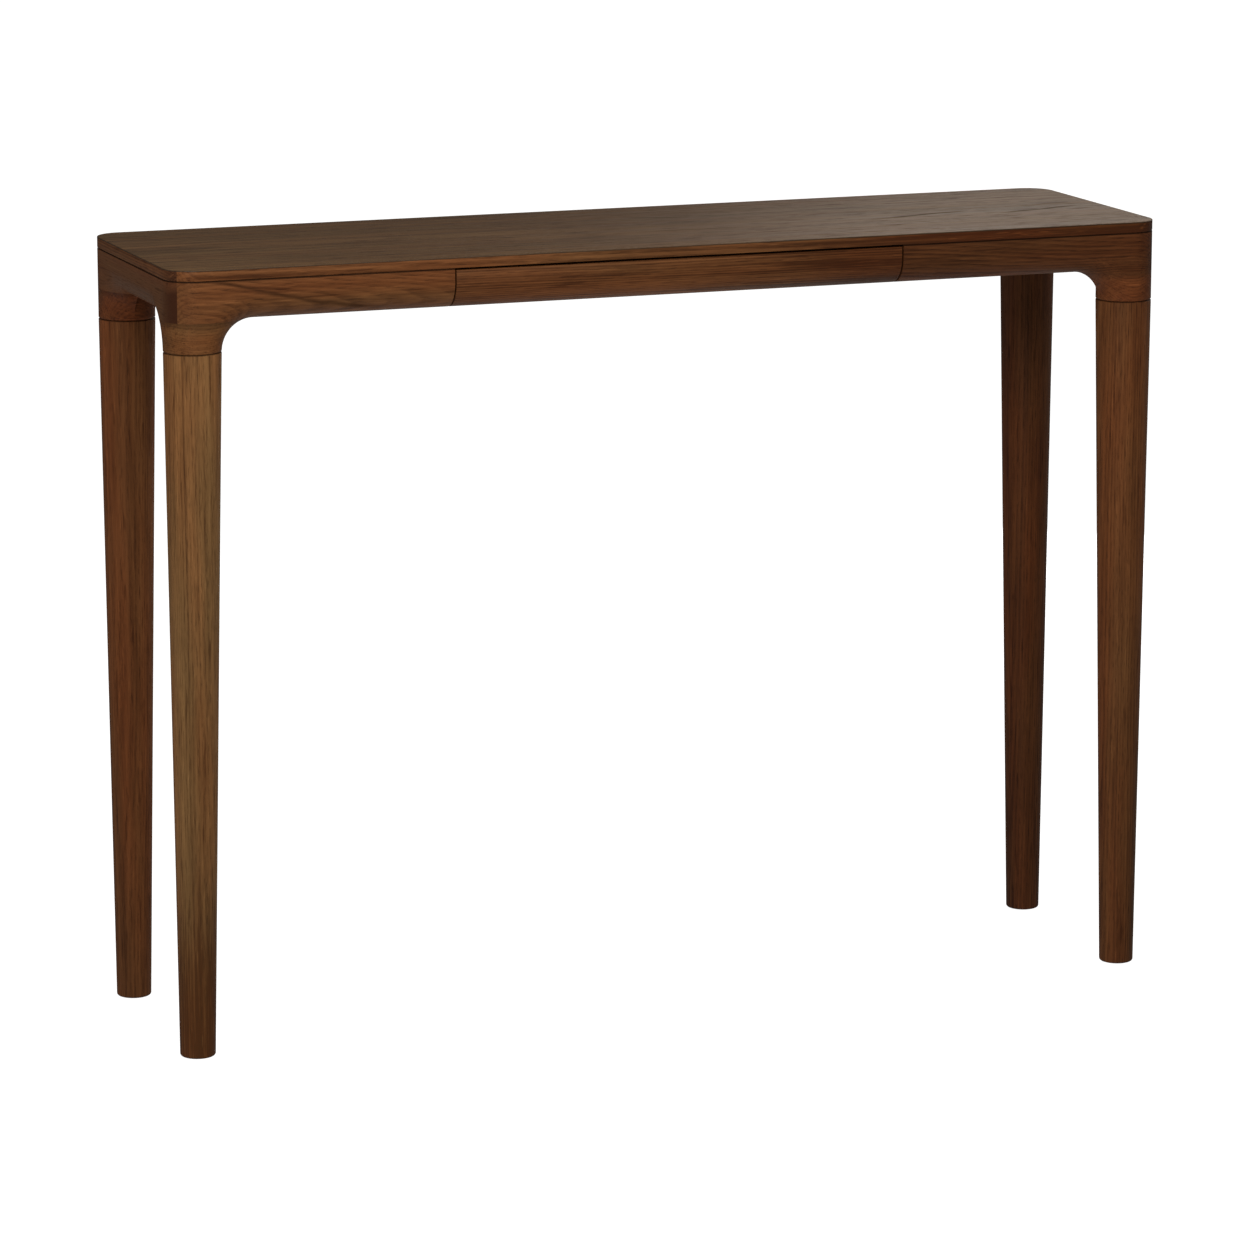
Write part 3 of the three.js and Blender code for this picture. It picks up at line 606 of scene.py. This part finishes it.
def make_lippings(materials):
    low, high = BOARD_LOW, SHEET_LOW - HAIRLINE
    plans = {"left": corner_strip(-1, END_LIPPING_WIDTH), "right": corner_strip(1, END_LIPPING_WIDTH),
             "front": long_strip(-1, LIPPING_WIDTH), "back": long_strip(1, LIPPING_WIDTH)}
    for side, plan in plans.items():
        bm = loft([[(x, y, z) for x, y in plan] for z in (low, high)])
        add_piece(f"edge_{side}", bm, materials[side], "frame", f"lipping_{side}",
                  bevel=0.12 * MM, sharp=60)


# ------------------------------------------------------------------ rails and heads

def above_arch(along, up):
    """How far a point on a rail's or head's face stands above the line of the arch beside a leg."""
    if along >= ARCH_ALONG:
        return up - RAIL_LOW
    return math.hypot(ARCH_ALONG - along, up - HEAD_LOW) - ARCH_RADIUS


def round_depth(distance, radius):
    """How far a rounded face lies back at that distance from its lower edge."""
    if distance >= radius:
        return 0.0
    return radius - math.sqrt(max(0.0, radius ** 2 - (radius - distance) ** 2))


def round_heights():
    """Heights down the rounded lower edge of a rail, evenly spaced round the curve."""
    angles = [math.pi / 2 * k / ROUND_STEPS for k in range(ROUND_STEPS + 1)]
    return [RAIL_LOW + RAIL_ROUND * (1 - math.sin(angle)) for angle in angles]


def rail_section(along):
    """(depth, height) points of a rail at that distance from the leg's axis."""
    outer = [(round_depth(above_arch(along, up), RAIL_ROUND), up) for up in round_heights()]
    return [(RAIL_THICKNESS, RAIL_HIGH), (GROOVE_DEPTH, RAIL_HIGH), (GROOVE_DEPTH, GROOVE_FLOOR),
            (0.0, GROOVE_FLOOR), *outer, (RAIL_THICKNESS, RAIL_LOW)]


def corner_stations(sx, sy, along_x):
    """Stations of a rail from its mitre, round the corner and past the arch."""
    stations = []
    for k in range(CORNER_STEPS + 1):
        angle = math.radians(45 * (1 - k / CORNER_STEPS))
        main, cross = math.cos(angle), math.sin(angle)
        out = (sx * cross, sy * main) if along_x else (sx * main, sy * cross)
        face = [sx * AXIS_X + out[0] * LEG_RADIUS, sy * AXIS_Y + out[1] * LEG_RADIUS]
        if k == 0:
            back = HAIRLINE / math.sqrt(2)
            face[0] += -sx * back if along_x else sx * back
            face[1] += sy * back if along_x else -sy * back
        stations.append((face, (-out[0], -out[1]), 0.0))
    for k in range(1, ARCH_STEPS + 1):
        along = ARCH_ALONG * k / ARCH_STEPS
        if along_x:
            stations.append(((sx * (AXIS_X - along), sy * HALF_Y), (0, -sy), along))
        else:
            stations.append(((sx * HALF_X, sy * (AXIS_Y - along)), (-sx, 0), along))
    return stations


def sweep(stations):
    """A rail's body through its stations, each (face, inward, distance from the leg's axis)."""
    return loft([[(face[0] + inward[0] * depth, face[1] + inward[1] * depth, up)
                  for depth, up in rail_section(along)] for face, inward, along in stations])


def make_rails(materials):
    for side, sx in SIDES.items():
        stub = corner_stations(sx, -1, True)
        stub.append(((sx * abs(STUB_END), -HALF_Y), (0, 1), ARCH_ALONG))
        add_piece(f"front_rail_{side}_shaped", sweep(stub), materials[f"front_{side}"], "frame",
                  f"front_rail_{side}")
        ends = corner_stations(sx, -1, False) + corner_stations(sx, 1, False)[::-1]
        add_piece(f"end_rail_{side}_shaped", sweep(ends), materials[f"end_{side}"], "frame",
                  f"end_rail_{side}")
    back = corner_stations(-1, 1, True) + corner_stations(1, 1, True)[::-1]
    add_piece("back_rail_shaped", sweep(back), materials["back"], "frame", "back_rail")


def head_plan(up, inset):
    """Plan of a leg head at one height: (a, b) run from the leg's axis to the middle of the table."""
    sink = (RAIL_LOW - up) / ARCH_RADIUS
    edge = RAIL_ROUND + (LEG_RADIUS - RAIL_ROUND) * sink
    wing = []
    quarter = [math.pi / 2 * k / HEAD_STEPS for k in range(HEAD_STEPS + 1)]
    for angle in quarter:
        reach = ARCH_RADIUS + edge * (1 - math.cos(angle))
        along = ARCH_ALONG - math.sqrt(reach ** 2 - (up - HEAD_LOW) ** 2)
        wing.append((along, -LEG_RADIUS + edge * (1 - math.sin(angle))))
    outer = [(-LEG_RADIUS * math.sin(a), -LEG_RADIUS * math.cos(a)) for a in quarter]
    inner = [(LEG_RADIUS * math.sin(a), LEG_RADIUS * math.cos(a)) for a in quarter]
    end_wing = [(across, along) for along, across in reversed(wing)]
    tip = wing[0][0] + 0.02 * MM
    plan = [*wing, *outer[1:-1], *end_wing, (0.0, tip), *inner, (tip, 0.0)]
    shrink = 1 - inset / LEG_RADIUS
    return [(a * shrink, b * shrink) for a, b in plan]


def make_heads(materials):
    low = HEAD_LOW + JOINT_GAP
    levels = [(low, JOINT_CHAMFER), (low + JOINT_CHAMFER, 0.0)]
    levels += [(HEAD_LOW + ARCH_RADIUS * math.sin(math.pi / 2 * k / 16), 0.0) for k in range(1, 16)]
    levels.append((RAIL_LOW - HAIRLINE, 0.0))
    for corner, (sx, sy) in CORNERS.items():
        rings = [[(sx * (AXIS_X - a), sy * (AXIS_Y - b), up) for a, b in head_plan(up, inset)]
                 for up, inset in levels]
        add_piece(f"head_{corner}", loft(rings), materials[corner], "frame", f"leg_head_{corner}",
                  bevel=0, sharp=50)


# ------------------------------------------------------------------ legs

def make_legs(materials):
    rise = HEAD_LOW - FOOT_LOW
    foot = []
    for k in range(7):
        angle = math.pi / 2 * k / 6
        radius = FOOT_RADIUS - FOOT_ROUND * (1 - math.sin(angle))
        foot.append((radius, FOOT_LOW + FOOT_ROUND * (1 - math.cos(angle))))
    shaft = [(FOOT_RADIUS + (LEG_RADIUS - FOOT_RADIUS) * k / LEG_STEPS, FOOT_LOW + FOOT_ROUND
              + (rise - FOOT_ROUND - JOINT_CHAMFER) * k / LEG_STEPS) for k in range(1, LEG_STEPS + 1)]
    profile = [(0, FOOT_LOW), *foot, *shaft, (LEG_RADIUS - JOINT_CHAMFER, HEAD_LOW), (0, HEAD_LOW)]
    for corner, (sx, sy) in CORNERS.items():
        bm = spin(profile, 96, (sx * AXIS_X, sy * AXIS_Y, 0))
        for vert in bm.verts:
            vert.co.x += sx * LEG_LEAN * (HEAD_LOW - vert.co.z) / rise
        add_piece(f"turned_leg_{corner}", bm, materials[corner], "frame", f"leg_{corner}",
                  bevel=0, sharp=40)


# ------------------------------------------------------------------ drawer front and plain boards

def make_drawer_front(material):
    low, high = DRAWER_FRONT_BOX
    back = high.y
    outer = [(-HALF_Y + round_depth(up - RAIL_LOW, RAIL_ROUND), up) for up in round_heights()]
    groove_low, groove_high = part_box("drawer_bottom")[0].z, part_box("drawer_bottom")[1].z
    groove_back = back - 5 * MM
    section = [(back, high.z), (-HALF_Y, high.z), *outer, (back, RAIL_LOW), (back, groove_low),
               (groove_back, groove_low), (groove_back, groove_high), (back, groove_high)]
    bm = loft([[(x, y, z) for y, z in section] for x in (low.x, high.x)])
    add_piece("drawer_front_shaped", bm, material, "drawer", "drawer_front",
              bevel=0.4 * MM)


def soften(node, material, body, bevel=0.5 * MM):
    """A CAD board again, with its sharp edges eased."""
    bm = bmesh.new()
    bm.from_mesh(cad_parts[node].data)
    bmesh.ops.remove_doubles(bm, verts=bm.verts, dist=SAME_POINT)
    bmesh.ops.dissolve_limit(bm, angle_limit=math.radians(1), verts=bm.verts, edges=bm.edges)
    add_piece(f"{node}_eased", bm, material, body, node, bevel=bevel, sharp=50)


def repaint(node, material):
    """Gives a CAD node that shows as it is a finer material."""
    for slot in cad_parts[node].material_slots:
        slot.material = material


# ------------------------------------------------------------------ putting it together

TOP_TONE = (0.115, 0.058, 0.022)
RAIL_TONE = (0.115, 0.0425, 0.0135)
# The front right rail takes the rail tone made darker: painted shade where less light reaches the right of
# the front
RIGHT_RAIL_SHADED_TONE = (0.077, 0.0240, 0.0070)
LIPPING_TONE = (0.132, 0.050, 0.0162)
END_TONE = (0.108, 0.040, 0.0145)
LEG_TONE = (0.174, 0.081, 0.028)
INNER_TONE = (0.14, 0.06, 0.024)

make_camera()
make_world()
make_floor()
area_light("key", (-0.95, -2.0, 2.1), (-0.3, 0, 0.6), (1.8, 1.2), 46)
area_light("back", (1.5, 1.1, 1.8), (0.45, 0, 0.85), (1.6, 0.8), 9.5, (1, 0.9, 0.79))
area_light("low_back", (1.7, 2.4, 0.42), (0, 0.1, 0.5), (1.8, 0.7), 26, glossy=False)

# seams, each (height, depth, reach)
under_sheet = ((VENEER_Z, 0.8, 0.9 * MM),)
# the leg joint's V-groove is darkened: painted shade in the groove, with stain gathered there too
leg_joint = (HEAD_LOW, 0.8, 0.9 * MM)
# the rails' groove under the top is darkened: painted shade in the recess
groove = ((RAIL_HIGH - GROOVE_HEIGHT / 2, 0.8, 1.3 * MM),)

# dark streaks, each (start, stop, width, depth)
streaks_top = (
    ((0.30, -0.033), (0.42, -0.003), 5 * MM, 0.8),
    ((0.455, -0.036), (0.57, -0.004), 5 * MM, 0.75),
    ((0.0, -0.040), (0.13, -0.043), 3 * MM, 0.6),
    ((-0.42, -0.030), (-0.22, -0.046), 3 * MM, 0.5),
    ((-0.22, 0.063), (-0.14, 0.041), 4 * MM, 0.5),
    ((0.03, 0.075), (0.09, 0.058), 4 * MM, 0.5),
)
make_veneer(oak("oak_top", TOP_TONE, "x", 1, pith=(0.0, 0.62), ring=4.2 * MM, contrast=0.75,
                rings=0.5, shine=0.3, dashed=0.8, hue=0.35, figures=streaks_top, flat=True, line=0.8))
make_lippings({
    # the front lipping darkens and reddens towards the right: painted shade where less light falls on the
    # right of the front
    "front": oak("oak_lipping_front", LIPPING_TONE, "x", 2, pith=(0.1, 0.8), end_stain=0.2,
                 seams=under_sheet, fade=(-0.35, 0.55, 0.0, -0.5)),
    "back": oak("oak_lipping_back", RAIL_TONE, "x", 3, pith=(-0.1, 0.8), end_stain=0.2, seams=under_sheet),
    "left": oak("oak_lipping_left", END_TONE, "y", 4, pith=(0.68, 0.8), contrast=0.7, end_stain=0.75,
                seams=under_sheet),
    "right": oak("oak_lipping_right", END_TONE, "y", 5, pith=(-0.68, 0.8), contrast=0.7, end_stain=0.9,
                 seams=under_sheet),
})
cathedral = (
    ((-0.56, 0.889), (-0.445, 0.861), 4 * MM, 0.6),
    ((-0.455, 0.862), (-0.36, 0.848), 4 * MM, 0.6),
)
make_rails({
    # the front left rail is lighter towards its left end: painted light where more light falls near the
    # front left corner
    "front_left": oak("oak_rail_front_left", RAIL_TONE, "x", 6, pith=(-0.27, 0.79), tilt=0.1, ring=4 * MM,
                      rings=0.65, contrast=0.85, figures=cathedral, end_stain=0.15,
                      fade=(-0.58, -0.48, 0.1, 0.0), seams=groove),
    # the front right rail's darker tone is painted shade
    "front_right": oak("oak_rail_front_right", RIGHT_RAIL_SHADED_TONE, "x", 7, pith=(-0.12, 0.92), tilt=-0.03,
                       end_stain=0.15, seams=groove),
    **{f"end_{side}": oak(f"oak_rail_end_{side}", END_TONE, "y", 8 + k, contrast=0.35, rings=0.3,
                          end_stain=0.15, pores=0.3, seams=groove, dark_ends=(0.122, 0.155, 0.9))
       for k, side in enumerate(SIDES)},
    "back": oak("oak_rail_back", RAIL_TONE, "x", 10, pith=(0.12, 0.80), tilt=0.02, end_stain=0.15,
                seams=groove),
})
# The heads' tones are darker towards the right and the back: partly their own wood, partly painted shade
# where less light reaches them
head_tones = {"front_left": (0.122, 0.046, 0.0140), "front_right": (0.110, 0.0345, 0.0102),
              "back_left": (0.11, 0.032, 0.0092), "back_right": (0.085, 0.027, 0.0085)}
head_pith = {"front_left": -0.15, "front_right": 0.0, "back_left": -0.05, "back_right": 0.0}
make_heads({corner: oak(f"oak_head_{corner}", tone, "x", 11 + k, pith=(head_pith[corner], 0.70),
                        ring=2.4 * MM, rings=0.5, contrast=0.8, end_stain=0.1,
                        seams=(leg_joint, (RAIL_LOW, 0.45, 9 * MM)))
            for k, (corner, tone) in enumerate(head_tones.items())})
# The legs' tones are darker towards the right and the back: partly their own wood, partly painted shade
# where less light reaches them
leg_tones = {"front_left": LEG_TONE, "front_right": (0.108, 0.038, 0.0115),
             "back_left": (0.121, 0.040, 0.0120), "back_right": (0.068, 0.021, 0.006)}
# each leg darkens towards the floor: painted shade of the light falling off downwards, on the front left leg
# also a change in its own tone
make_legs({corner: oak(f"oak_leg_{corner}", tone, "z", 15 + k, pith=(0.0, 0.7), ring=3.4 * MM, contrast=0.75,
                       rings=0.5, seams=(leg_joint,),
                       fade=(0.03, 0.3, -0.5, 0.02) if corner == "front_left" else (0.05, 0.5, -0.13, 0.03))
           for k, (corner, tone) in enumerate(leg_tones.items())})
# the drawer front darkens and reddens towards the right: painted shade where less light falls on the right
# of the front
make_drawer_front(oak("oak_drawer_front", RAIL_TONE, "x", 20, pith=(-0.14, 0.78), tilt=0.012,
                      fade=(0.0, 0.22, -0.02, -0.36)))

inner_x = oak("oak_inner_x", INNER_TONE, "x", 21, contrast=0.7, gloss=0.55)
inner_y = oak("oak_inner_y", INNER_TONE, "y", 22, contrast=0.7, gloss=0.55)
for side in SIDES:
    soften(f"drawer_side_{side}", inner_y, "drawer")
    soften(f"drawer_bearer_{side}", inner_y, "frame", bevel=0.3 * MM)
soften("drawer_back", inner_x, "drawer")
soften("drawer_bottom", inner_x, "drawer")
for corner in CORNERS:
    soften(f"corner_block_{corner}", inner_x, "frame")

steel, dark_nylon, board = zinc_steel(), nylon(), fibreboard()
repaint("top_core", board)
for corner in CORNERS:
    repaint(f"glide_{corner}", dark_nylon)
    repaint(f"leg_bolt_{corner}", steel)
    repaint(f"leg_insert_{corner}", steel)
for side in SIDES:
    repaint(f"slide_rail_{side}", steel)
    repaint(f"slide_runner_{side}", steel)
    repaint(f"slide_ball_cage_{side}", steel)
    for number in (1, 2):
        repaint(f"top_screw_{side}_{number}", steel)

bpy.context.scene.view_settings.view_transform = "Standard"
